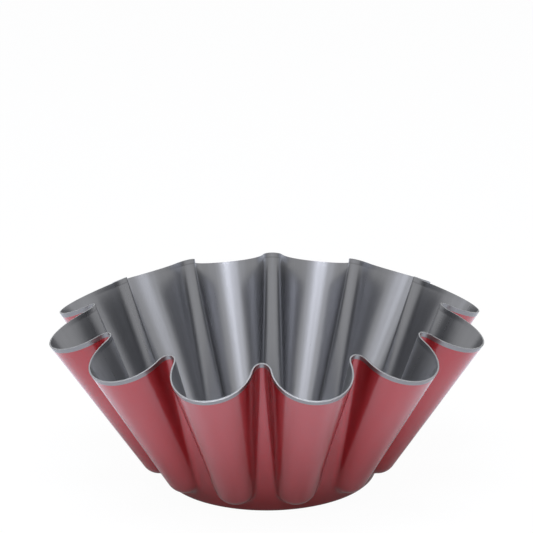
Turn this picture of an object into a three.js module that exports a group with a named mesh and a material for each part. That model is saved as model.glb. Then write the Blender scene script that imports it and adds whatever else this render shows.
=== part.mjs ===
// A fluted brioche mould: one steel sheet drawn into twelve lobes, with a grey non-stick lining,
// a red coat outside and a narrow grey band that is left round the lip above the red.
// Millimetres, +Z up. The origin is the centre of the base, on the surface that it stands on,
// and one of the inward ridges points along -Y.
import * as THREE from 'three';

// Overall sizes, on the finished outside face
const FLUTES = 12;
const RIM_DIAMETER = 220; // across the crests of opposite lobes, at the lip
const HEIGHT = 89; // from the base up to the lip at a ridge, its highest part
const LIP_DIP = 11.7; // how far the lip comes down from a ridge to a lobe's crest
const BASE_DIAMETER = 107; // of the round core, where its side would meet the base in a sharp edge

// The flutes at the lip, in plan
const RIDGE_DIAMETER = 174; // across the tips of opposite ridges
const RIDGE_RADIUS = 4.3; // of a ridge's rounding

// The rounded toes that end the lobes just above the base
const TOE_HEIGHT = 14.4; // from the base to the centre of a toe's rounding
const TOE_RADIUS = 9.2; // of the rounding, seen from the side
const TOE_HALF_WIDTH = 10.4; // of a lobe at its toe, seen from the front
const CREST_ANGLE = 33.6; // of a lobe's crest at its toe, in degrees from the vertical
const TOE_BLEND = 2; // reach of the fillet between a toe and the core
const BASE_BEND = 3; // reach of the bend between the core's side and the base
const SHOULDER_HEIGHT = 16; // where the toes end and the straight flutes begin

// The sheet and what is on it
const SHEET = 0.6;
const COAT = 0.1;
const BAND_HEIGHT = 2.3; // of the grey band round the lip, along the wall

// Facets, counted over half a pitch from a ridge's tip to a lobe's crest
const RIDGE_STEPS = 2;
const LOBE_STEPS = 4;
const RIDGE_SHARE = 0.36; // part of the half pitch that the ridge's steps take at the toes
const TOE_STEPS = 5;
const STEEPEST_DIVE = 45; // of the rays that find a toe's points, in degrees below the horizontal
const HALVINGS = 40; // of the search along such a ray

const RIM_RADIUS = RIM_DIAMETER / 2;
const RIDGE_TIP = RIDGE_DIAMETER / 2;
const BASE_RADIUS = BASE_DIAMETER / 2;
const HALF_PITCH = Math.PI / FLUTES;
const { lerp, clamp, degToRad } = THREE.MathUtils;

// The core's side leans out through the ridge tips, and its bend takes up the edge of the flat base
const CORE_FLARE = (RIDGE_TIP - BASE_RADIUS) / HEIGHT;
const CORE_SLANT = Math.hypot(1, CORE_FLARE);
const FLAT_RADIUS = BASE_RADIUS - BASE_BEND * CORE_SLANT;

// A lobe's arc at the lip touches the ridges on both sides of it
const RIDGE_CENTRE = RIDGE_TIP + RIDGE_RADIUS;
const LOBE_RADIUS = (() => {
  const reach = RIDGE_CENTRE * Math.cos(HALF_PITCH);
  const squares = RIDGE_CENTRE ** 2 + RIM_RADIUS ** 2 - RIDGE_RADIUS ** 2 - 2 * RIM_RADIUS * reach;
  return squares / (2 * (RIM_RADIUS + RIDGE_RADIUS - reach));
})();

// A lobe's axis in its own upright plane, from the centre of the toe up to the lip
const CREST_SLOPE = degToRad(CREST_ANGLE);
const CREST_TOP = HEIGHT - LIP_DIP;
const TOE_CENTRE = new THREE.Vector3(
  RIM_RADIUS - Math.tan(CREST_SLOPE) * (CREST_TOP - TOE_HEIGHT) - TOE_RADIUS / Math.cos(CREST_SLOPE),
  0,
  TOE_HEIGHT,
);
const LOBE_TOP = new THREE.Vector3(
  RIM_RADIUS - LOBE_RADIUS * Math.cos(CREST_SLOPE),
  0,
  CREST_TOP + LOBE_RADIUS * Math.sin(CREST_SLOPE),
);
const LOBE_AXIS = LOBE_TOP.clone().sub(TOE_CENTRE).normalize();
const LOBE_WIDENING = (LOBE_RADIUS - TOE_RADIUS) / LOBE_TOP.distanceTo(TOE_CENTRE);

function polar(radius, angle, height) {
  return new THREE.Vector3(radius * Math.cos(angle), radius * Math.sin(angle), height);
}

// The lesser of two distances, with the meeting of their surfaces filled over the reach
function blend(a, b, reach) {
  const share = Math.max(reach - Math.abs(a - b), 0) / reach;
  return Math.min(a, b) - (share * share * reach) / 4;
}

function coreDistance(radius, height) {
  const side = (radius - BASE_RADIUS - CORE_FLARE * height) / CORE_SLANT;
  return -blend(-side, height, BASE_BEND);
}

// A lobe is a round bar that widens upwards from the ball of its toe, and is drawn out oval across
function lobeDistance(radius, angle, height) {
  const point = polar(radius, HALF_PITCH - angle, height).sub(TOE_CENTRE);
  point.y *= TOE_RADIUS / TOE_HALF_WIDTH;
  const along = point.dot(LOBE_AXIS);
  const away = Math.sqrt(Math.max(point.lengthSq() - along ** 2, 0));
  const taper = Math.sqrt(1 - LOBE_WIDENING ** 2);
  const beyondBall = along * taper + away * LOBE_WIDENING > 0;
  return (beyondBall ? away * taper - along * LOBE_WIDENING : point.length()) - TOE_RADIUS;
}

// Where a ray down from inside the core leaves the core and the lobe, in the upright plane at an angle
function toePoint(angle, dive) {
  const start = BASE_RADIUS - SHOULDER_HEIGHT;
  let inside = 0;
  let outside = RIM_RADIUS;
  for (let i = 0; i < HALVINGS; i += 1) {
    const length = (inside + outside) / 2;
    const radius = start + length * Math.cos(dive);
    const height = SHOULDER_HEIGHT - length * Math.sin(dive);
    const distance = blend(coreDistance(radius, height), lobeDistance(radius, angle, height), TOE_BLEND);
    if (distance > 0) outside = length;
    else inside = length;
  }
  return polar(start + inside * Math.cos(dive), angle, SHOULDER_HEIGHT - inside * Math.sin(dive));
}

// Half a pitch of the lip from ridge tip to lobe crest: two arcs that touch, dipping towards the crest
function lipLine() {
  const ridge = new THREE.Vector2(RIDGE_CENTRE, 0);
  const lobe = new THREE.Vector2(RIM_RADIUS - LOBE_RADIUS, 0).rotateAround(new THREE.Vector2(), HALF_PITCH);
  const touch = lobe.clone().sub(ridge).angle();
  const plan = [];
  for (let i = 0; i <= RIDGE_STEPS; i += 1) {
    const angle = lerp(Math.PI, touch, i / RIDGE_STEPS);
    plan.push(ridge.clone().add(new THREE.Vector2(RIDGE_RADIUS * Math.cos(angle), RIDGE_RADIUS * Math.sin(angle))));
  }
  for (let i = 1; i <= LOBE_STEPS; i += 1) {
    const angle = lerp(touch - Math.PI, HALF_PITCH, i / LOBE_STEPS);
    plan.push(lobe.clone().add(new THREE.Vector2(LOBE_RADIUS * Math.cos(angle), LOBE_RADIUS * Math.sin(angle))));
  }
  return plan.map(({ x, y }) => {
    const outward = clamp((Math.hypot(x, y) - RIDGE_TIP) / (RIM_RADIUS - RIDGE_TIP), 0, 1);
    return new THREE.Vector3(x, y, HEIGHT - LIP_DIP * outward);
  });
}

function toeAngle(step) {
  const flank = RIDGE_SHARE * HALF_PITCH;
  if (step <= RIDGE_STEPS) return (flank * step) / RIDGE_STEPS;
  return lerp(flank, HALF_PITCH, (step - RIDGE_STEPS) / LOBE_STEPS);
}

// One line up the outside: edge of the flat base, toe, shoulder, foot of the lip's band, lip
function wallLine(lip, step) {
  const angle = toeAngle(step);
  const line = [polar(FLAT_RADIUS, angle, 0)];
  for (let i = 0; i < TOE_STEPS; i += 1) {
    line.push(toePoint(angle, degToRad(STEEPEST_DIVE) * (1 - i / (TOE_STEPS - 1))));
  }
  const shoulder = line[TOE_STEPS];
  const bandFoot = shoulder.clone().sub(lip).setLength(BAND_HEIGHT).add(lip);
  return [...line, bandFoot, lip];
}

// The outside face as closed rings of points, from the base up, each ring starting beside the -Y ridge
function outsideRings() {
  const half = lipLine().map(wallLine);
  const otherHalf = half.slice(1).reverse().map((line) => line.map(({ x, y, z }) => new THREE.Vector3(x, -y, z)));
  const pitch = [...otherHalf, ...half.slice(0, -1)];
  const lines = [];
  for (let flute = 0; flute < FLUTES; flute += 1) {
    const turn = 2 * HALF_PITCH * flute - Math.PI / 2;
    const up = new THREE.Vector3(0, 0, 1);
    lines.push(...pitch.map((line) => line.map((point) => point.clone().applyAxisAngle(up, turn))));
  }
  return lines[0].map((_, row) => lines.map((line) => line[row]));
}

// The direction out of the sheet at each point; the base's own ring keeps to the flat
function outwardNormals(rings) {
  return rings.map((ring, row) => ring.map((_, i) => {
    if (row === 0) return new THREE.Vector3(0, 0, -1);
    const around = ring[(i + 1) % ring.length].clone().sub(ring[(i + ring.length - 1) % ring.length]);
    const above = rings[Math.min(row + 1, rings.length - 1)][i];
    return around.cross(above.clone().sub(rings[row - 1][i])).normalize();
  }));
}

const OUTSIDE = outsideRings();
const NORMALS = outwardNormals(OUTSIDE);
const LIP_ROW = OUTSIDE.length - 1;
const BAND_ROW = LIP_ROW - 1;
const WHOLE_WALL = OUTSIDE.map((_, row) => row);
const COATED_WALL = WHOLE_WALL.slice(0, LIP_ROW);
const PLAIN_WALL = WHOLE_WALL.filter((row) => row !== BAND_ROW);

// The face that lies at a depth below the outside face, as rings
function faceAt(depth, rows) {
  return rows.map((row) => OUTSIDE[row].map((point, i) => point.clone().addScaledVector(NORMALS[row][i], -depth)));
}

// A closed body between an outer and an inner face, with a floor disc on each or, for a band, a lower edge
function layer(name, material, outerFace, innerFace, hasFloor) {
  const rings = [...outerFace, ...[...innerFace].reverse()];
  const count = rings[0].length;
  const points = rings.flat();
  const triangles = [];
  const joinRings = (lower, upper) => {
    for (let i = 0; i < count; i += 1) {
      const next = (i + 1) % count;
      const [a, b, c, d] = [lower * count + i, lower * count + next, upper * count + next, upper * count + i];
      const rising = points[a].distanceTo(points[c]) <= points[b].distanceTo(points[d]);
      triangles.push(...(rising ? [a, b, c, a, c, d] : [a, b, d, b, c, d]));
    }
  };
  for (let row = 1; row < rings.length; row += 1) joinRings(row - 1, row);
  if (hasFloor) {
    const lastRing = (rings.length - 1) * count;
    points.push(new THREE.Vector3(0, 0, rings[0][0].z), new THREE.Vector3(0, 0, rings[rings.length - 1][0].z));
    for (let i = 0; i < count; i += 1) {
      const next = (i + 1) % count;
      triangles.push(points.length - 2, next, i, points.length - 1, lastRing + i, lastRing + next);
    }
  } else {
    joinRings(rings.length - 1, 0);
  }
  const geometry = new THREE.BufferGeometry().setFromPoints(points);
  geometry.setIndex(triangles);
  geometry.computeVertexNormals();
  const mesh = new THREE.Mesh(geometry, material);
  mesh.name = name;
  return mesh;
}

const bareSteel = new THREE.MeshStandardMaterial({ color: 0xc3c8c9, roughness: 0.3, metalness: 1 });
const greyCoat = new THREE.MeshStandardMaterial({ color: 0x74767b, roughness: 0.4, metalness: 0.6 });
const redCoat = new THREE.MeshStandardMaterial({ color: 0x9c3a43, roughness: 0.3, metalness: 0.1 });

const mould = new THREE.Group();
mould.add(
  layer('red_coat', redCoat, faceAt(0, COATED_WALL), faceAt(COAT, COATED_WALL), true),
  layer('lip_band', greyCoat, faceAt(0, [BAND_ROW, LIP_ROW]), faceAt(COAT, [BAND_ROW, LIP_ROW]), false),
  layer('steel_shell', bareSteel, faceAt(COAT, WHOLE_WALL), faceAt(COAT + SHEET, PLAIN_WALL), true),
  layer('nonstick_lining', greyCoat, faceAt(COAT + SHEET, PLAIN_WALL), faceAt(2 * COAT + SHEET, PLAIN_WALL), true),
);

export default mould;
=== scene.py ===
"""Looks of a fluted brioche mould: a steel pressing with a grey non-stick lining and a red outer coat.

Metres, +Z up, the centre of the base at the origin and one inward ridge on -Y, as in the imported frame.
"""

from __future__ import annotations

import logging
import math
from dataclasses import dataclass, field
from enum import Enum
from typing import Any, Dict, List, Optional, Sequence, Tuple, Union

import bmesh
import bpy
import numpy as np
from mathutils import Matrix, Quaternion, Vector


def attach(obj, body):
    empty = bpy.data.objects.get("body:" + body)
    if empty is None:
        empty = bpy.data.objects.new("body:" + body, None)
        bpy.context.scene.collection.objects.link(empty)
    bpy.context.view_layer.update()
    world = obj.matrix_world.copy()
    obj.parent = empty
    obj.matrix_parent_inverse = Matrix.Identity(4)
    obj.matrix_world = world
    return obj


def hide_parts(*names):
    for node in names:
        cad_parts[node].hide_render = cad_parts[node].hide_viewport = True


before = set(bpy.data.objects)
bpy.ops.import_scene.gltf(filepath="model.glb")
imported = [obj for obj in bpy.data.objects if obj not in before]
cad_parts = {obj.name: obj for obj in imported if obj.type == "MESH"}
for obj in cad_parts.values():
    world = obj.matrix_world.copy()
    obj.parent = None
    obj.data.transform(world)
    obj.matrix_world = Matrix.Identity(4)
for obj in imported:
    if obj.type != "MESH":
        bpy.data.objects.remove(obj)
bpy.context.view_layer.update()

LOG = logging.getLogger("mould")
BODY = "root"
Colour = Tuple[float, float, float]


# Form of the pressing
@dataclass(frozen=True)
class Pressing:
    """Outside face of the pressed sheet, as rings of points from the middle of the base up to the lip.

    A round core leans out through the ridges, and twelve lobes that widen upwards stand round it, each with
    a rounded toe just above the base. The main sizes are those of the solids. The ridges' noses, the valleys
    and the bend round the base are a little finer, as the reflections on the coat show them.

    Attributes:
        flutes: number of lobes.
        rim_radius: out to the lobes' crests at the lip.
        height: up to the lip at the ridges.
        lip_dip: how much lower the lip is at the crests.
        base_radius: of the core at the bottom.
        ridge_tip: out to the ridges' tips at the lip.
        ridge_radius: half a ridge's width.
        nose_radius: of a ridge's tip in the wall.
        lip_nose_radius: of a ridge's tip at the lip.
        toe_height: up to the middle of the ball of a toe.
        toe_radius: of the ball, in its upright plane.
        toe_half_width: of the ball, across.
        crest_angle: how far a lobe's crest leans from the upright.
        toe_blend: reach of the fill between a toe and the core.
        base_bend: reach of the bend round the base.
        shoulder_height: of the start of the rays that find the toes, as far inside the base's edge.
        fade_start: where the straight wall starts to take over from the toes.
        fade_end: where it has taken over.
        band_height: of the lip's band.
        lip_flare: how far the lip stands out from the straight wall.
        knee: length of the bend at the band's foot.
        valley_spread: how far the lines beside a ridge spread at their feet.
        valley_hold: how close to the ridge that spread is kept.
        valley_pinch: how soon these lines close up again.
        pinch_reach: share of the lip, from the ridge on, in which they do.
        pole_radius: of the smallest ring of the base.
        touch_least: least turn on a nose where the lobe may start.
        touch_most: greatest such turn.
        ridge_steps: steps on half a nose.
        lobe_steps: steps on half a lobe.
        floor_rows: rings of the flat base.
        toe_rows: rings through the toes.
        wall_rows: rings of the straight wall.
        halvings: how often a search halves its range.
    """

    flutes: int = 12
    rim_radius: float = 0.110
    height: float = 0.089
    lip_dip: float = 0.0117
    base_radius: float = 0.0535
    ridge_tip: float = 0.087
    ridge_radius: float = 0.0043
    nose_radius: float = 0.0028
    lip_nose_radius: float = 0.0034
    toe_height: float = 0.0144
    toe_radius: float = 0.0092
    toe_half_width: float = 0.0104
    crest_angle: float = math.radians(33.6)
    toe_blend: float = 0.002
    base_bend: float = 0.0018
    shoulder_height: float = 0.016
    fade_start: float = 0.012
    fade_end: float = 0.021
    band_height: float = 0.0023
    lip_flare: float = 0.00002
    knee: float = 0.0004
    valley_spread: float = 4.0
    valley_hold: int = 8
    valley_pinch: float = 1.5
    pinch_reach: float = 0.34
    pole_radius: float = 0.002
    touch_least: float = math.radians(40.0)
    touch_most: float = math.radians(100.0)
    ridge_steps: int = 10
    lobe_steps: int = 17
    floor_rows: int = 5
    toe_rows: int = 34
    wall_rows: int = 12
    halvings: int = 36

    @property
    def half_pitch(self) -> float:
        """Half the angle from one ridge to the next."""
        return math.pi / self.flutes

    @property
    def core_flare(self) -> float:
        """How far the core's side leans out for each metre of height."""
        return (self.ridge_tip - self.base_radius) / self.height

    @property
    def flat_radius(self) -> float:
        """Radius of the flat part of the base, inside its bend."""
        return self.base_radius - self.base_bend * math.hypot(1.0, self.core_flare)

    @property
    def lobe_radius(self) -> float:
        """Radius of a lobe's arc at the lip, which touches the ridges on both sides."""
        centre = self.ridge_tip + self.ridge_radius
        reach = centre * math.cos(self.half_pitch)
        squares = centre**2 + self.rim_radius**2 - self.ridge_radius**2 - 2 * self.rim_radius * reach
        return squares / (2 * (self.rim_radius + self.ridge_radius - reach))

    @staticmethod
    def blend(first: np.ndarray, second: np.ndarray, reach: float) -> np.ndarray:
        """Lesser of two distances, with the meeting of their surfaces filled.

        Args:
            first: distances from one surface.
            second: distances from the other surface.
            reach: how far from the meeting the fill starts.

        Returns:
            The joined distances.
        """
        share = np.maximum(reach - np.abs(first - second), 0.0) / reach
        return np.minimum(first, second) - share * share * reach / 4

    def core_distance(self, radius: np.ndarray, height: np.ndarray) -> np.ndarray:
        """Distance from the round core, negative inside it.

        Args:
            radius: distances from the axis.
            height: heights above the base.

        Returns:
            The distances.
        """
        slant = math.hypot(1.0, self.core_flare)
        side = (radius - self.base_radius - self.core_flare * height) / slant
        return -self.blend(-side, height, self.base_bend)

    def lobe_distance(self, radius: np.ndarray, angle: np.ndarray, height: np.ndarray) -> np.ndarray:
        """Distance from a lobe, a round bar that widens upwards from the ball of its toe.

        Args:
            radius: distances from the axis.
            angle: angles from the ridge beside the lobe.
            height: heights above the base.

        Returns:
            The distances, negative inside the lobe.
        """
        slope = self.crest_angle
        crest_top = self.height - self.lip_dip
        toe_reach = self.rim_radius - math.tan(slope) * (crest_top - self.toe_height)
        toe = np.array([toe_reach - self.toe_radius / math.cos(slope), self.toe_height])
        top = np.array([
            self.rim_radius - self.lobe_radius * math.cos(slope),
            crest_top + self.lobe_radius * math.sin(slope),
        ])
        length = float(np.linalg.norm(top - toe))
        axis = (top - toe) / length
        widening = (self.lobe_radius - self.toe_radius) / length
        taper = math.sqrt(1 - widening**2)
        turned = self.half_pitch - angle
        outward = radius * np.cos(turned) - toe[0]
        across = radius * np.sin(turned) * self.toe_radius / self.toe_half_width
        upward = height - toe[1]
        along = outward * axis[0] + upward * axis[1]
        squared = outward**2 + across**2 + upward**2
        away = np.sqrt(np.maximum(squared - along**2, 0.0))
        beyond_ball = along * taper + away * widening > 0
        return np.where(beyond_ball, away * taper - along * widening, np.sqrt(squared)) - self.toe_radius

    def toe_points(self, angle: np.ndarray, dive: np.ndarray) -> Tuple[np.ndarray, np.ndarray]:
        """Where rays from inside the core leave the core and the lobe.

        Args:
            angle: angles of the upright planes of the rays, from the ridge.
            dive: angles of the rays below the horizontal.

        Returns:
            The points' distances from the axis, and their heights.
        """
        start = self.base_radius - self.shoulder_height
        inside = np.zeros_like(angle)
        outside = np.full_like(angle, self.rim_radius)
        for _ in range(self.halvings):
            length = (inside + outside) / 2
            radius = start + length * np.cos(dive)
            height = self.shoulder_height - length * np.sin(dive)
            core = self.core_distance(radius, height)
            lobe = self.lobe_distance(radius, angle, height)
            out = self.blend(core, lobe, self.toe_blend) > 0
            outside = np.where(out, length, outside)
            inside = np.where(out, inside, length)
        return start + inside * np.cos(dive), self.shoulder_height - inside * np.sin(dive)

    def nose(self, turn: np.ndarray, tip_radius: float) -> Tuple[np.ndarray, np.ndarray]:
        """Points on a ridge's nose in plan, half an oval as wide as the ridge.

        Args:
            turn: how far round the oval the points are, from the tip.
            tip_radius: the oval's radius at its tip.

        Returns:
            The points, and the directions away from the ridge there.
        """
        depth = self.ridge_radius**2 / tip_radius
        across, along = self.ridge_radius * np.sin(turn), depth * np.cos(turn)
        away = np.stack([-self.ridge_radius * np.cos(turn), depth * np.sin(turn)], -1)
        points = np.stack([self.ridge_tip + depth - along, across], -1)
        return points, away / np.linalg.norm(away, axis=-1, keepdims=True)

    def lobe_from(self, turn: float, tip_radius: float) -> Tuple[np.ndarray, float]:
        """The round lobe that goes on from a place on a ridge's nose without a bend.

        Args:
            turn: how far round the nose the place is.
            tip_radius: the nose's radius at its tip.

        Returns:
            The lobe's centre in plan and its radius.
        """
        point, away = self.nose(np.array(turn), tip_radius)
        axis = np.array([math.cos(self.half_pitch), math.sin(self.half_pitch)])
        aside = np.array([-axis[1], axis[0]])
        radius = -float(point @ aside) / float(away @ aside)
        return point + away * radius, radius

    def lip_half(self, tip_radius: float) -> Tuple[np.ndarray, np.ndarray, np.ndarray]:
        """Half a pitch of the lip, from a ridge's tip to a lobe's crest.

        Args:
            tip_radius: the radius of the ridge's nose at its tip.

        Returns:
            The points, the level directions out of the mould there, and the share of the lip's length.
        """
        low, high = self.touch_least, self.touch_most
        for _ in range(self.halvings):
            touch = (low + high) / 2
            centre, radius = self.lobe_from(touch, tip_radius)
            if float(np.hypot(*centre)) + radius < self.rim_radius:
                low = touch
            else:
                high = touch
        on_nose, away = self.nose(np.linspace(0.0, touch, self.ridge_steps + 1), tip_radius)
        first = math.atan2(-away[-1, 1], -away[-1, 0])
        lobe_angles = np.linspace(first, self.half_pitch, self.lobe_steps + 1)[1:]
        from_lobe = np.stack([np.cos(lobe_angles), np.sin(lobe_angles)], 1)
        plan = np.concatenate([on_nose, centre + radius * from_lobe])
        level = np.concatenate([-away, from_lobe])
        outward = (np.hypot(*plan.T) - self.ridge_tip) / (self.rim_radius - self.ridge_tip)
        rise = self.height - self.lip_dip * np.clip(outward, 0.0, 1.0)
        steps = np.hypot(*np.diff(plan, axis=0).T)
        share = np.concatenate([[0.0], np.cumsum(steps)]) / steps.sum()
        return np.column_stack([plan, rise]), np.column_stack([level, np.zeros_like(rise)]), share

    @staticmethod
    def wall_line(foot: np.ndarray, top: np.ndarray, pinch: np.ndarray, rise: np.ndarray) -> np.ndarray:
        """Points on the lines of the wall, which are straight but for a valley that stays narrow.

        Args:
            foot: where the lines start.
            top: where they end.
            pinch: how soon each line takes up its distance from the ridge's middle plane.
            rise: shares of the way up.

        Returns:
            The points.
        """
        points = foot + (top - foot) * rise[:, None]
        points[:, 1] += (top[:, 1] - foot[:, 1]) * pinch * rise * (1 - rise)
        return points

    def half_rings(self) -> np.ndarray:
        """Half a pitch of the outside face.

        Returns:
            An array of rows, from the base's middle to the lip, by stations, by coordinates.
        """
        lip = self.lip_half(self.lip_nose_radius)[0]
        straight_lip, level, share = self.lip_half(self.nose_radius)
        straight_lip = straight_lip - level * self.lip_flare
        angle = self.half_pitch * (share + self.valley_spread * share * (1 - share) ** self.valley_hold)
        floor = [
            np.column_stack([r * np.cos(angle), r * np.sin(angle), np.zeros_like(angle)])
            for r in np.linspace(self.pole_radius, self.flat_radius, self.floor_rows)
        ]
        start = self.base_radius - self.shoulder_height
        steepest = math.atan2(self.shoulder_height, self.flat_radius - start)
        shallowest = -math.atan2(self.fade_end - self.shoulder_height, self.base_radius - start)
        foot = np.array(self.toe_points(angle, np.zeros_like(angle)))
        foot = np.column_stack([foot[0] * np.cos(angle), foot[0] * np.sin(angle), foot[1]])
        pinch = self.valley_pinch * np.clip(1 - share / self.pinch_reach, 0, 1) ** 2
        toes: List[np.ndarray] = []
        for dive in np.linspace(steepest, shallowest, self.toe_rows + 1)[1:]:
            radius, height = self.toe_points(angle, np.full_like(angle, dive))
            pressed = np.column_stack([radius * np.cos(angle), radius * np.sin(angle), height])
            rise = (height - foot[:, 2]) / (straight_lip[:, 2] - foot[:, 2])
            straight = self.wall_line(foot, straight_lip, pinch, rise)
            fade = np.clip((height - self.fade_start) / (self.fade_end - self.fade_start), 0, 1)
            fade = (fade * fade * (3 - 2 * fade))[:, None]
            toes.append(pressed * (1 - fade) + straight * fade)
        lengths = np.linalg.norm(straight_lip - foot, axis=1)
        to_band = 1 - self.band_height / lengths
        to_under = to_band - self.knee / lengths
        band = self.wall_line(foot, straight_lip, pinch, to_band)
        over = band + (lip - band) * self.knee / self.band_height
        steps = np.linspace(0, 1, self.wall_rows + 1)[1:]
        wall = [self.wall_line(foot, straight_lip, pinch, rise + (to_under - rise) * k) for k in steps]
        return np.stack([*floor, *toes, *wall, band, over, lip])

    def rings(self) -> np.ndarray:
        """The whole outside face, mirrored and repeated from half a pitch.

        Returns:
            An array of rows by stations by coordinates.
        """
        half = self.half_rings()
        mirrored = half[:, :0:-1] * np.array([1.0, -1.0, 1.0])
        pitch = np.concatenate([mirrored, half[:, :-1]], axis=1)
        around = []
        for flute in range(self.flutes):
            turn = 2 * self.half_pitch * flute - math.pi / 2
            c, s = math.cos(turn), math.sin(turn)
            around.append(pitch @ np.array([[c, s, 0.0], [-s, c, 0.0], [0.0, 0.0, 1.0]]))
        return np.concatenate(around, axis=1)

    def normals(self, rings: np.ndarray) -> np.ndarray:
        """Directions out of the sheet at each point of the outside face.

        Args:
            rings: the outside face.

        Returns:
            Unit vectors in the same order.
        """
        around = np.roll(rings, -1, axis=1) - np.roll(rings, 1, axis=1)
        upward = np.empty_like(rings)
        upward[1:-1] = rings[2:] - rings[:-2]
        upward[0] = rings[1] - rings[0]
        upward[-1] = rings[-1] - rings[-2]
        out = np.cross(around, upward)
        out[: self.floor_rows] = (0.0, 0.0, -1.0)
        return out / np.linalg.norm(out, axis=2, keepdims=True)


# Modelling by hand
class Ends(Enum):
    """How the first and the last row of a skin are closed."""

    JOINED = "joined to each other, as in a band"
    FACED = "each with a face of its own, as in a bowl"


class RingModeller:
    """Models a skin as by hand: a circle is drawn, and its edge is extruded row by row."""

    STATION = "station"
    ROW = "row"
    ROUND_PROFILE = 0.5

    def __init__(self, name: str, rings: np.ndarray) -> None:
        """Keeps what is to be modelled.

        Args:
            name: the piece's name.
            rings: rows by stations by coordinates, in the order in which the edge is extruded.
        """
        self.name = name
        self.rings = rings
        self.count = rings.shape[1]
        self.piece: Optional[bpy.types.Object] = None

    def model(self, ends: Ends) -> bpy.types.Object:
        """Draws, extrudes and closes the skin.

        Args:
            ends: how the first and the last row are closed.

        Returns:
            The piece, with its place in its mesh.
        """
        bpy.ops.object.select_all(action="DESELECT")
        bpy.ops.mesh.primitive_circle_add(vertices=self.count, radius=1.0, fill_type="NOTHING")
        self.piece = bpy.context.object
        self.piece.name = self.name
        self.piece.data.name = self.name
        for layer in (self.STATION, self.ROW):
            self.piece.data.attributes.new(layer, "INT", "POINT")
        self.piece.data.attributes[self.STATION].data.foreach_set("value", list(range(self.count)))
        bpy.ops.object.mode_set(mode="EDIT")
        bpy.ops.mesh.select_all(action="SELECT")
        self._place(0)
        for row in range(1, len(self.rings)):
            bpy.ops.mesh.extrude_region_move()
            self._place(row)
        end_rows = [0, len(self.rings) - 1]
        if ends is Ends.JOINED:
            self._select_rows(end_rows)
            bpy.ops.mesh.bridge_edge_loops()
        else:
            for row in end_rows:
                self._select_rows([row])
                bpy.ops.mesh.edge_face_add()
        bpy.ops.mesh.select_all(action="SELECT")
        bpy.ops.mesh.normals_make_consistent(inside=False)
        bpy.ops.object.mode_set(mode="OBJECT")
        return self.piece

    def _place(self, row: int) -> None:
        """Moves the newest row of points to where the form has them.

        Args:
            row: the row's number.
        """
        mesh = bmesh.from_edit_mesh(self.piece.data)
        station = mesh.verts.layers.int[self.STATION]
        row_layer = mesh.verts.layers.int[self.ROW]
        mesh.verts.ensure_lookup_table()
        total = len(mesh.verts)
        ring = self.rings[row].tolist()
        for index in range(total - self.count, total):
            vert = mesh.verts[index]
            vert.co = ring[vert[station]]
            vert[row_layer] = row
        bmesh.update_edit_mesh(self.piece.data)

    def _select_rows(self, rows: Sequence[int]) -> None:
        """Selects the edges that lie in rows.

        Args:
            rows: the rows' numbers.
        """
        bpy.ops.mesh.select_all(action="DESELECT")
        bpy.ops.mesh.select_mode(type="EDGE")
        mesh = bmesh.from_edit_mesh(self.piece.data)
        row_layer = mesh.verts.layers.int[self.ROW]
        for edge in mesh.edges:
            first, second = (vert[row_layer] for vert in edge.verts)
            edge.select_set(first == second and first in rows)
        mesh.select_flush_mode()
        bmesh.update_edit_mesh(self.piece.data)

    def bevel_rows(self, rows: Sequence[int], width: float, segments: int) -> None:
        """Rounds the edges that lie in rows.

        Args:
            rows: the rows' numbers.
            width: of the rounding.
            segments: faces across the rounding.
        """
        self._choose()
        bpy.ops.object.mode_set(mode="EDIT")
        self._select_rows(rows)
        bpy.ops.mesh.bevel(offset=width, segments=segments, profile=self.ROUND_PROFILE)
        bpy.ops.object.mode_set(mode="OBJECT")

    def smooth(self, angle: float) -> None:
        """Shades the skin smooth, with edges sharper than an angle left crisp."""
        self._choose()
        bpy.ops.object.shade_smooth_by_angle(angle=angle)

    def _choose(self) -> None:
        """Selects the piece and nothing else."""
        bpy.ops.object.select_all(action="DESELECT")
        self.piece.select_set(True)
        bpy.context.view_layer.objects.active = self.piece


# Shader maths
class Shade:
    """A value in a node tree that takes part in Python sums."""

    def __init__(self, bench: NodeBench, socket: bpy.types.NodeSocket) -> None:
        """Keeps the socket and the bench that adds nodes beside it."""
        self.bench = bench
        self.socket = socket

    def __add__(self, other: Operand) -> Shade:
        """Sum."""
        return self.bench.math("ADD", self, other)

    def __radd__(self, other: Operand) -> Shade:
        """Sum, with the value on the right."""
        return self.bench.math("ADD", other, self)

    def __sub__(self, other: Operand) -> Shade:
        """Difference."""
        return self.bench.math("SUBTRACT", self, other)

    def __rsub__(self, other: Operand) -> Shade:
        """Difference, with the value on the right."""
        return self.bench.math("SUBTRACT", other, self)

    def __mul__(self, other: Operand) -> Shade:
        """Product."""
        return self.bench.math("MULTIPLY", self, other)

    def __rmul__(self, other: Operand) -> Shade:
        """Product, with the value on the right."""
        return self.bench.math("MULTIPLY", other, self)


Operand = Union[Shade, bpy.types.NodeSocket, float]


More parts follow.
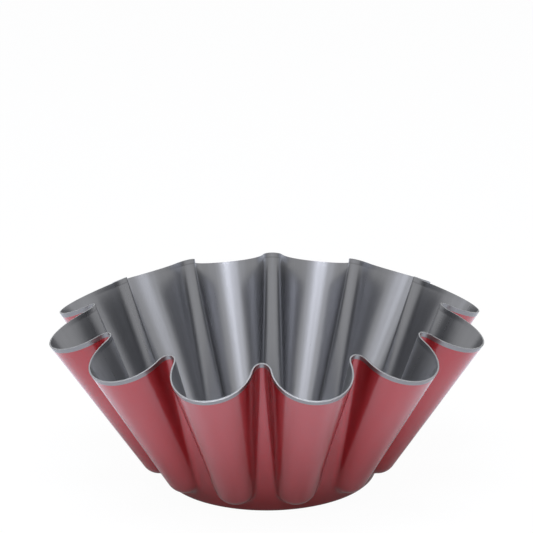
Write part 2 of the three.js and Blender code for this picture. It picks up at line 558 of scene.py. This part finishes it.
class NodeBench:
    """Adds nodes to one node tree."""

    # Numbers of a Mix node's colour sockets
    MIX_FIRST = 6
    MIX_SECOND = 7
    MIX_RESULT = 2

    def __init__(self, tree: bpy.types.NodeTree) -> None:
        """Clears the tree."""
        self.tree = tree
        self.tree.nodes.clear()

    def node(self, kind: str, settings: Dict[str, Any], inputs: Dict[Any, Any]) -> bpy.types.Node:
        """Adds one node.

        Args:
            kind: the node's type.
            settings: its own settings, which are set first.
            inputs: values, sockets or shades for its inputs, by name or number.

        Returns:
            The node.
        """
        made = self.tree.nodes.new(kind)
        for name, value in settings.items():
            setattr(made, name, value)
        for key, value in inputs.items():
            source = value.socket if isinstance(value, Shade) else value
            if isinstance(source, bpy.types.NodeSocket):
                self.tree.links.new(source, made.inputs[key])
            else:
                made.inputs[key].default_value = source
        return made

    def shade(self, kind: str, settings: Dict[str, Any], inputs: Dict[Any, Any], output: Any = 0) -> Shade:
        """Adds one node and takes an output of it.

        Args:
            kind: the node's type.
            settings: its own settings.
            inputs: values or links for its inputs.
            output: the output's name or number.

        Returns:
            The output as a value for sums.
        """
        return Shade(self, self.node(kind, settings, inputs).outputs[output])

    def math(self, operation: str, first: Operand, second: Operand) -> Shade:
        """Adds a Math node for two values."""
        return self.shade("ShaderNodeMath", {"operation": operation}, {0: first, 1: second})

    def span(self, value: Operand, start: float, end: float, top: float = 1.0) -> Shade:
        """How far a value has come from one bound to another.

        Args:
            value: the value.
            start: the bound at which the result is none.
            end: the bound from which on the result is the top.
            top: the greatest result.

        Returns:
            The result.
        """
        inputs = {"Value": value, "From Min": start, "From Max": end, "To Max": top}
        return self.shade("ShaderNodeMapRange", {}, inputs)

    def mix(self, factor: Operand, first: Union[Colour, Shade], second: Union[Colour, Shade]) -> Shade:
        """Mixes two colours.

        Args:
            factor: share of the second colour.
            first: a colour or a link.
            second: a colour or a link.

        Returns:
            The mixed colour.
        """
        pair = {self.MIX_FIRST: first, self.MIX_SECOND: second}
        pair = {place: (*tone, 1.0) if isinstance(tone, tuple) else tone for place, tone in pair.items()}
        return self.shade("ShaderNodeMix", {"data_type": "RGBA"}, {0: factor, **pair}, self.MIX_RESULT)


# Finishes
FLOW = "flow"
NOISE_DETAIL = 2.0
NOISE_MIDDLE = 0.5
RELIEF_DISTANCE = 0.0002


@dataclass(frozen=True)
class Finish:
    """What every finish on the mould has: a colour, a roughness, and marks from the press.

    Attributes:
        name: of the material.
        slot: of the material in the frame; not used.
        colour: where the marks are weak.
        tint: where they are strong.
        roughness: on average.
        metallic: share of metal.
    """

    name: str
    slot: str
    colour: Colour
    tint: Colour
    roughness: float
    metallic: float

    @staticmethod
    def flow(bench: NodeBench) -> Shade:
        """The plan of the lip above each point, and the way down from the lip to the point."""
        return bench.shade("ShaderNodeAttribute", {"attribute_name": FLOW}, {}, "Vector")

    def streaks(self, bench: NodeBench, fineness: float, stretch: float) -> Shade:
        """Marks of the press, drawn out along the flutes.

        Args:
            bench: where the nodes go.
            fineness: marks in a metre across.
            stretch: marks in a metre along.

        Returns:
            A value about one half that varies from mark to mark.
        """
        scale = (fineness, fineness, stretch)
        factors = {0: self.flow(bench), 1: scale}
        scaled = bench.shade("ShaderNodeVectorMath", {"operation": "MULTIPLY"}, factors)
        return bench.shade("ShaderNodeTexNoise", {}, {"Vector": scaled, "Scale": 1.0, "Detail": NOISE_DETAIL})

    def speckle(self, bench: NodeBench, fineness: float) -> Shade:
        """Even fine unevenness, the same all ways.

        Args:
            bench: where the nodes go.
            fineness: spots in a metre.

        Returns:
            A value about one half.
        """
        place = bench.shade("ShaderNodeTexCoord", {}, {}, "Object")
        inputs = {"Vector": place, "Scale": fineness, "Detail": NOISE_DETAIL}
        return bench.shade("ShaderNodeTexNoise", {}, inputs)

    @staticmethod
    def relief(bench: NodeBench, strength: float, height: Shade) -> Shade:
        """Turns a value into fine relief.

        Args:
            bench: where the node goes.
            strength: of the relief.
            height: the value.

        Returns:
            The directions of the uneven surface.
        """
        inputs = {"Strength": strength, "Distance": RELIEF_DISTANCE, "Height": height}
        return bench.shade("ShaderNodeBump", {}, inputs, "Normal")

    @staticmethod
    def surface(bench: NodeBench, inputs: Dict[str, Any]) -> bpy.types.NodeSocket:
        """Adds the node of the surface itself.

        Args:
            bench: where the node goes.
            inputs: values and links for its sockets.

        Returns:
            The surface socket.
        """
        return bench.node("ShaderNodeBsdfPrincipled", {}, inputs).outputs["BSDF"]

    def material(self) -> bpy.types.Material:
        """Makes the material, once for all layers that have it.

        Returns:
            The material, with its nodes.
        """
        if self.name in bpy.data.materials:
            return bpy.data.materials[self.name]
        material = bpy.data.materials.new(self.name)
        material.use_nodes = True
        bench = NodeBench(material.node_tree)
        shader = self.shader(bench)
        bench.node("ShaderNodeOutputMaterial", {}, {"Surface": shader})
        return material

    def shader(self, bench: NodeBench) -> bpy.types.NodeSocket:
        """Makes the surface; each finish has its own."""
        raise NotImplementedError


@dataclass(frozen=True)
class RedCoat(Finish):
    """Deep red baked coat with a soft gloss.

    Fineness and stretch are in marks to the metre, and shares say how much each kind of mark counts.
    """

    gloss_roughness: float = 0.12
    gloss_index: float = 1.66
    cloud_fineness: float = 35.0
    cloud_share: float = 0.6
    mark_fineness: float = 900.0
    mark_stretch: float = 25.0
    mark_share: float = 0.4
    mark_roughness: float = 0.1
    peel_fineness: float = 1400.0
    peel_depth: float = 0.03

    def shader(self, bench: NodeBench) -> bpy.types.NodeSocket:
        """Red with faint clouds, press marks and orange peel under a gloss layer.

        Args:
            bench: where the nodes go.

        Returns:
            The surface socket.
        """
        clouds = self.speckle(bench, self.cloud_fineness)
        marks = self.streaks(bench, self.mark_fineness, self.mark_stretch)
        share = clouds * self.cloud_share + marks * self.mark_share
        peel = self.speckle(bench, self.peel_fineness)
        return self.surface(bench, {
            "Base Color": bench.mix(share, self.colour, self.tint),
            "Roughness": self.roughness + (marks - NOISE_MIDDLE) * self.mark_roughness,
            "Metallic": self.metallic,
            "IOR": self.gloss_index,
            "Coat Weight": 1.0,
            "Coat Roughness": self.gloss_roughness,
            "Coat IOR": self.gloss_index,
            "Normal": self.relief(bench, self.peel_depth, peel),
        })


@dataclass(frozen=True)
class GreyNonstick(Finish):
    """Satin grey non-stick coat with a metallic sheen and drawing marks.

    Fineness and stretch are in marks to the metre, and shares say how much each kind of mark counts. The dark
    line is painted shade, standing in for the shading of the bend at the foot of the lip's band; it is full
    within line_core of its middle and gone at line_edge, and shows only where the lip above is nearer to the
    axis than line_outside.
    """

    broad_fineness: float = 260.0
    broad_stretch: float = 6.0
    broad_share: float = 0.4
    fine_fineness: float = 700.0
    fine_stretch: float = 8.0
    fine_share: float = 0.4
    fine_roughness: float = 0.05
    fine_relief: float = 0.7
    grit_fineness: float = 2600.0
    grit_share: float = 0.2
    grit_roughness: float = 0.01
    grit_relief: float = 0.3
    mark_depth: float = 0.014
    # Painted shade: colour and strength of the dark line at the bend below the lip.
    crease_shade_colour: Colour = (0.05, 0.05, 0.055)
    crease_shade_strength: float = 0.3
    line_below_lip: float = 0.0024
    line_core: float = 0.0001
    line_edge: float = 0.0005
    line_inside: float = 0.088
    line_outside: float = 0.096

    def shader(self, bench: NodeBench) -> bpy.types.NodeSocket:
        """Grey with drawing marks in its tone, roughness and relief.

        Args:
            bench: where the nodes go.

        Returns:
            The surface socket.
        """
        broad = self.streaks(bench, self.broad_fineness, self.broad_stretch)
        fine = self.streaks(bench, self.fine_fineness, self.fine_stretch)
        grit = self.speckle(bench, self.grit_fineness)
        share = broad * self.broad_share + fine * self.fine_share + grit * self.grit_share
        uneven_fine = (fine - NOISE_MIDDLE) * self.fine_roughness
        uneven_grit = (grit - NOISE_MIDDLE) * self.grit_roughness
        height = fine * self.fine_relief + grit * self.grit_relief
        grey = bench.mix(share, self.colour, self.tint)
        return self.surface(bench, {
            # The grey, darkened by the painted shade of the bend below the lip.
            "Base Color": bench.mix(self.line(bench), grey, self.crease_shade_colour),
            "Roughness": self.roughness + uneven_fine + uneven_grit,
            "Metallic": self.metallic,
            "Normal": self.relief(bench, self.mark_depth, height),
        })

    def line(self, bench: NodeBench) -> Shade:
        """A thin dark line a little below the lip at each ridge: painted shade where the wall bends into the
        lip's band.

        Args:
            bench: where the nodes go.

        Returns:
            The line's strength.
        """
        flow = self.flow(bench)
        below = bench.shade("ShaderNodeSeparateXYZ", {}, {0: flow}, "Z")
        plan = bench.shade("ShaderNodeVectorMath", {"operation": "MULTIPLY"}, {0: flow, 1: (1.0, 1.0, 0.0)})
        reach = bench.shade("ShaderNodeVectorMath", {"operation": "LENGTH"}, {0: plan}, "Value")
        at_ridge = bench.span(reach, self.line_outside, self.line_inside, self.crease_shade_strength)
        away = bench.math("ABSOLUTE", below - self.line_below_lip, 0.0)
        return at_ridge * bench.span(away, self.line_edge, self.line_core)


@dataclass(frozen=True)
class BareSteel(Finish):
    """Bare sheared edge of the sheet, with marks to the metre."""

    mark_fineness: float = 2400.0
    mark_stretch: float = 60.0
    mark_roughness: float = 0.2

    def shader(self, bench: NodeBench) -> bpy.types.NodeSocket:
        """Pale steel with fine shear marks across the edge.

        Args:
            bench: where the nodes go.

        Returns:
            The surface socket.
        """
        marks = self.streaks(bench, self.mark_fineness, self.mark_stretch)
        return self.surface(bench, {
            "Base Color": bench.mix(marks, self.colour, self.tint),
            "Roughness": self.roughness + (marks - NOISE_MIDDLE) * self.mark_roughness,
            "Metallic": self.metallic,
        })


# Layers of the sheet
@dataclass
class WallLayer:
    """One layer of the sheet, between two depths below the outside face.

    Attributes:
        node: the solid that the layer stands for.
        finish: the layer's finish.
        outer_depth: of its outer side.
        inner_depth: of its inner side.
        edge_rounding: width of the rounding of its edge at the lip.
        rounding_steps: faces across that rounding.
        crisp_angle: bend from which on an edge isn't shaded smooth.
        piece: what was modelled.
    """

    node: str
    finish: Finish
    outer_depth: float
    inner_depth: float
    edge_rounding: float = 0.0
    rounding_steps: int = 2
    crisp_angle: float = math.radians(40.0)
    piece: Optional[bpy.types.Object] = field(default=None, init=False)

    def rows(self, last: int) -> List[int]:
        """Rows of the outside face that the layer covers; a plain layer covers them all."""
        return list(range(last + 1))

    def ends(self) -> Ends:
        """A plain layer runs across the base, so each of its ends has a face."""
        return Ends.FACED

    def build(self, form: Pressing) -> bpy.types.Object:
        """Models the layer.

        Args:
            form: the pressing's form.

        Returns:
            The layer's piece.
        """
        face = form.rings()
        out = form.normals(face)
        rows = self.rows(len(face) - 1)
        outer = face[rows] - out[rows] * self.outer_depth
        inner = face[rows] - out[rows] * self.inner_depth
        modeller = RingModeller(self.node + "_skin", np.concatenate([outer, inner[::-1]]))
        self.piece = modeller.model(self.ends())
        self._keep_flow(face, rows)
        if self.edge_rounding > 0:
            modeller.bevel_rows([len(rows) - 1, len(rows)], self.edge_rounding, self.rounding_steps)
        modeller.smooth(self.crisp_angle)
        return self.piece

    def _keep_flow(self, face: np.ndarray, rows: Sequence[int]) -> None:
        """Keeps on each point the plan of the lip above it and the way down to it from the lip.

        Args:
            face: the outside face.
            rows: the layer's rows of it.
        """
        steps = np.linalg.norm(np.diff(face, axis=0), axis=2)
        way = np.concatenate([np.cumsum(steps[::-1], axis=0)[::-1], np.zeros((1, face.shape[1]))])
        plan = np.repeat(face[-1:, :, :2], len(rows), axis=0)
        flow = np.concatenate([plan, way[rows][:, :, None]], axis=2)
        flow = np.concatenate([flow, flow[::-1]])
        mesh = self.piece.data
        count = len(mesh.vertices)
        station = np.zeros(count, np.int32)
        row = np.zeros(count, np.int32)
        mesh.attributes[RingModeller.STATION].data.foreach_get("value", station)
        mesh.attributes[RingModeller.ROW].data.foreach_get("value", row)
        layer = mesh.attributes.new(FLOW, "FLOAT_VECTOR", "POINT")
        layer.data.foreach_set("vector", flow[row, station].astype(np.float32).ravel())

    def dress(self) -> None:
        """Gives the piece its finish, and its place in the frame."""
        self.piece.data.materials.clear()
        self.piece.data.materials.append(self.finish.material())
        for layer in (RingModeller.STATION, RingModeller.ROW):
            self.piece.data.attributes.remove(self.piece.data.attributes[layer])
        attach(self.piece, BODY)
        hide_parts(self.node)


@dataclass
class CoatedWall(WallLayer):
    """The outer coat, which stops below the lip's band."""

    def rows(self, last: int) -> List[int]:
        """All rows up to the band's foot."""
        return list(range(last - 1))


@dataclass
class LipBand(WallLayer):
    """The band round the outside of the lip, above the outer coat."""

    def rows(self, last: int) -> List[int]:
        """The band's foot, the bend just above it and the lip."""
        return [last - 2, last - 1, last]

    def ends(self) -> Ends:
        """A band closes on itself."""
        return Ends.JOINED


@dataclass
class Mould:
    """The whole mould, as the layers of its sheet from the outside in.

    Attributes:
        form: of the outside face.
        coat: thickness of each coat.
        sheet: thickness of the steel.
        edge_rounding: width of the rounding of the cut edge.
    """

    form: Pressing = field(default_factory=Pressing)
    coat: float = 0.0001
    sheet: float = 0.0006
    edge_rounding: float = 0.0001

    def layers(self) -> List[WallLayer]:
        """The layers with their finishes.

        Returns:
            The layers, from the outside in.
        """
        red = RedCoat(
            name="deep_red_coat",
            slot="red_coating",
            colour=(0.309, 0.0140, 0.0187),
            tint=(0.365, 0.0187, 0.0243),
            roughness=0.5,
            metallic=0.97,
        )
        grey = GreyNonstick(
            name="satin_grey_coat",
            slot="grey_nonstick",
            colour=(0.196, 0.198, 0.207),
            tint=(0.247, 0.25, 0.261),
            roughness=0.285,
            metallic=0.95,
        )
        band = GreyNonstick(
            name="pale_grey_band",
            slot="grey_nonstick",
            colour=(0.209, 0.208, 0.206),
            tint=(0.25, 0.249, 0.246),
            roughness=0.3,
            metallic=0.95,
        )
        edge = BareSteel(
            name="bright_cut_edge",
            slot="bare_steel",
            colour=(0.208, 0.21, 0.206),
            tint=(0.248, 0.251, 0.245),
            roughness=0.5,
            metallic=0.3,
        )
        under = self.coat + self.sheet
        return [
            CoatedWall("red_coat", red, 0.0, self.coat),
            LipBand("lip_band", band, 0.0, self.coat),
            WallLayer("steel_shell", edge, self.coat, under, self.edge_rounding),
            WallLayer("nonstick_lining", grey, under, under + self.coat),
        ]

    def build(self) -> None:
        """Models and dresses every layer."""
        for layer in self.layers():
            piece = layer.build(self.form)
            layer.dress()
            LOG.info("%s: %d faces, %s", piece.name, len(piece.data.polygons), layer.finish.name)


# Studio
PLAIN_WHITE = (1.0, 1.0, 1.0, 1.0)


@dataclass(frozen=True)
class SoftBox:
    """A soft lamp that looks at the mould.

    Attributes:
        name: of the lamp.
        azimuth: degrees round from the front, to the right.
        elevation: degrees above the floor.
        width: of its face.
        height: of its face.
        power: in watts.
        distance: from what it looks at.
        aim_height: of what it looks at.
    """

    name: str
    azimuth: float
    elevation: float
    width: float
    height: float
    power: float
    distance: float = 1.3
    aim_height: float = 0.05

    def build(self, tint: Colour) -> bpy.types.Object:
        """Hangs the lamp.

        Args:
            tint: colour of its light.

        Returns:
            The lamp.
        """
        around = math.radians(self.azimuth)
        upward = math.radians(self.elevation)
        level = math.cos(upward)
        back = Vector((math.sin(around) * level, -math.cos(around) * level, math.sin(upward)))
        place = back * self.distance + Vector((0.0, 0.0, self.aim_height))
        bpy.ops.object.select_all(action="DESELECT")
        bpy.ops.object.light_add(type="AREA", location=place)
        lamp = bpy.context.object
        lamp.name = self.name
        lamp.rotation_mode = "QUATERNION"
        lamp.rotation_quaternion = (-back).to_track_quat("-Z", "Y")
        lamp.data.shape = "RECTANGLE"
        lamp.data.size = self.width
        lamp.data.size_y = self.height
        lamp.data.energy = self.power
        lamp.data.color = tint
        lamp.visible_camera = False
        return lamp


@dataclass
class Studio:
    """A pale floor, a white surround and soft lamps.

    Attributes:
        floor_size: length of the floor's side.
        floor_drop: how far the floor is below the base, so that the two faces don't meet.
        floor_tone: colour of the floor.
        painted_shadow_tone: its colour close to the base, a painted shadow of the mould.
        painted_shadow_from: where that painted shadow starts to fade.
        painted_shadow_to: where it has faded.
        floor_white: share of plain white in the floor that the camera sees; the rest shows the shadow.
        floor_in_gloss: share of plain white in the floor that reflections see.
        ambient: strength of the surround's own light.
        dim_below: rise of the direction below which the surround gives no light.
        full_above: rise above which it gives all its light.
        lamp_tint: colour of the lamps.
        lamps: the lamps.
    """

    floor_size: float = 6.0
    floor_drop: float = 0.0002
    floor_tone: Colour = (0.885, 0.91, 0.965)
    # Painted shadow: the floor's colour darkens to grey close to the base.
    painted_shadow_tone: Colour = (0.3, 0.31, 0.33)
    painted_shadow_from: float = 0.058
    painted_shadow_to: float = 0.066
    floor_white: float = 0.97
    floor_in_gloss: float = 0.18
    ambient: float = 0.28
    dim_below: float = 0.15
    full_above: float = 0.5
    lamp_tint: Colour = (0.955, 0.985, 1.09)
    lamps: Tuple[SoftBox, ...] = (
        SoftBox("top_box", azimuth=0.0, elevation=89.9, width=1.0, height=1.0, power=0.5),
        SoftBox("key_box", azimuth=-10.0, elevation=75.0, width=0.8, height=0.6, power=19.7),
        SoftBox("front_box", azimuth=0.0, elevation=48.0, width=0.36, height=0.4, power=0.6),
        SoftBox("front_left_box", azimuth=-36.0, elevation=47.0, width=0.5, height=0.45, power=0.75),
        SoftBox("front_right_box", azimuth=32.0, elevation=47.0, width=0.5, height=0.45, power=0.36),
        SoftBox("side_left_box", azimuth=-75.0, elevation=42.0, width=0.4, height=0.5, power=0.4),
        SoftBox("high_right_box", azimuth=80.0, elevation=65.0, width=0.6, height=0.8, power=0.7),
        SoftBox("back_right_box", azimuth=110.0, elevation=46.0, width=0.6, height=0.5, power=0.65),
        SoftBox("back_left_box", azimuth=-120.0, elevation=46.0, width=0.6, height=0.5, power=1.2),
    )

    def build(self) -> None:
        """Makes the floor, the surround and the lamps."""
        self._floor()
        self._surround()
        for lamp in self.lamps:
            lamp.build(self.lamp_tint)
            LOG.info("%s: %.1f W", lamp.name, lamp.power)

    @staticmethod
    def _pale_share(bench: NodeBench, seen: float, in_gloss: float) -> Shade:
        """How much of the plain white a ray meets.

        Args:
            bench: where the nodes go.
            seen: share of white for the camera, and through glass.
            in_gloss: share of white in reflections.

        Returns:
            The share, and none for light that is scattered.
        """
        path = bench.node("ShaderNodeLightPath", {}, {})
        direct = bench.math("MAXIMUM", path.outputs["Is Camera Ray"], path.outputs["Is Transmission Ray"])
        glossy = Shade(bench, path.outputs["Is Glossy Ray"])
        return bench.math("MAXIMUM", direct * seen, glossy * in_gloss)

    def _floor(self) -> None:
        """A pale floor with a painted shadow darkening it close to the base, that the camera sees nearly
        white with a soft shadow.
        """
        bpy.ops.object.select_all(action="DESELECT")
        bpy.ops.mesh.primitive_plane_add(size=self.floor_size, location=(0.0, 0.0, -self.floor_drop))
        floor = bpy.context.object
        floor.name = "floor"
        bpy.ops.object.transform_apply(location=True, rotation=True, scale=True)
        material = bpy.data.materials.new("pale_floor")
        material.use_nodes = True
        bench = NodeBench(material.node_tree)
        place = bench.shade("ShaderNodeTexCoord", {}, {}, "Object")
        reach = bench.shade("ShaderNodeVectorMath", {"operation": "LENGTH"}, {0: place}, "Value")
        # Painted shadow: the floor's colour turns to grey close to the base.
        tone = bench.mix(bench.span(reach, self.painted_shadow_from, self.painted_shadow_to), self.painted_shadow_tone, self.floor_tone)
        matt_inputs = {"Base Color": tone, "Roughness": 1.0, "Specular IOR Level": 0.0}
        matt = bench.node("ShaderNodeBsdfPrincipled", {}, matt_inputs)
        white = bench.node("ShaderNodeEmission", {}, {"Color": PLAIN_WHITE, "Strength": 1.0})
        share = self._pale_share(bench, self.floor_white, self.floor_in_gloss)
        seen = bench.node("ShaderNodeMixShader", {}, {0: share, 1: matt.outputs[0], 2: white.outputs[0]})
        bench.node("ShaderNodeOutputMaterial", {}, {"Surface": seen.outputs[0]})
        floor.data.materials.append(material)

    def _surround(self) -> None:
        """A world that is white to the camera and in reflections, and a soft grey light from above."""
        scene = bpy.context.scene
        scene.world = scene.world or bpy.data.worlds.new("surround")
        scene.world.use_nodes = True
        bench = NodeBench(scene.world.node_tree)
        way = bench.shade("ShaderNodeTexCoord", {}, {}, "Generated")
        rise = bench.shade("ShaderNodeSeparateXYZ", {}, {0: way}, "Z")
        soft = bench.span(rise, self.dim_below, self.full_above, self.ambient)
        pale = self._pale_share(bench, 1.0, 1.0)
        strength = pale + (1.0 - pale) * soft
        sky = bench.node("ShaderNodeBackground", {}, {"Color": PLAIN_WHITE, "Strength": strength})
        bench.node("ShaderNodeOutputWorld", {}, {"Surface": sky.outputs[0]})
        scene.view_settings.view_transform = "Standard"


@dataclass(frozen=True)
class PhotoCamera:
    """The camera, where the photograph was taken from.

    Attributes:
        elevation: how far above the level of the target it stands.
        azimuth: how far round from the front, to the right.
        roll: turn about its line of sight.
        distance: from the target.
        target_height: of the target, on the mould's axis.
        focal_pixels: focal length in pixels of the picture.
        picture_pixels: side of the picture.
        sensor: side of the sensor in millimetres.
        target_pixel: where the target is in the picture.
        nearest: what the camera still sees in front of it.
        farthest: what it still sees behind the mould.
    """

    elevation: float = math.radians(18.52)
    azimuth: float = math.radians(1.94)
    roll: float = math.radians(-0.74)
    distance: float = 1.2449
    target_height: float = 0.0891
    focal_pixels: float = 2493.4
    picture_pixels: int = 533
    sensor: float = 36.0
    target_pixel: Tuple[float, float] = (267.35, 304.33)
    nearest: float = 0.05
    farthest: float = 50.0

    def build(self) -> bpy.types.Object:
        """Sets the camera up.

        Returns:
            The camera.
        """
        back = Vector((
            math.sin(self.azimuth) * math.cos(self.elevation),
            -math.cos(self.azimuth) * math.cos(self.elevation),
            math.sin(self.elevation),
        ))
        bpy.ops.object.select_all(action="DESELECT")
        bpy.ops.object.camera_add(location=back * self.distance + Vector((0.0, 0.0, self.target_height)))
        camera = bpy.context.object
        camera.name = "photo_camera"
        middle = self.picture_pixels / 2
        aside = Vector((self.target_pixel[0] - middle, middle - self.target_pixel[1], -self.focal_pixels))
        level = (-back).to_track_quat("-Z", "Y")
        rolled = level @ Quaternion((0.0, 0.0, 1.0), self.roll)
        camera.rotation_mode = "QUATERNION"
        camera.rotation_quaternion = rolled @ aside.normalized().rotation_difference(Vector((0.0, 0.0, -1.0)))
        camera.data.sensor_width = self.sensor
        camera.data.lens = self.focal_pixels * self.sensor / self.picture_pixels
        camera.data.clip_start = self.nearest
        camera.data.clip_end = self.farthest
        bpy.context.scene.camera = camera
        return camera


def main() -> None:
    """Builds the camera, the mould and the studio, in that order."""
    logging.basicConfig(level=logging.INFO, format="%(name)s: %(message)s")
    PhotoCamera().build()
    Mould().build()
    Studio().build()


if __name__ == "__main__":
    main()
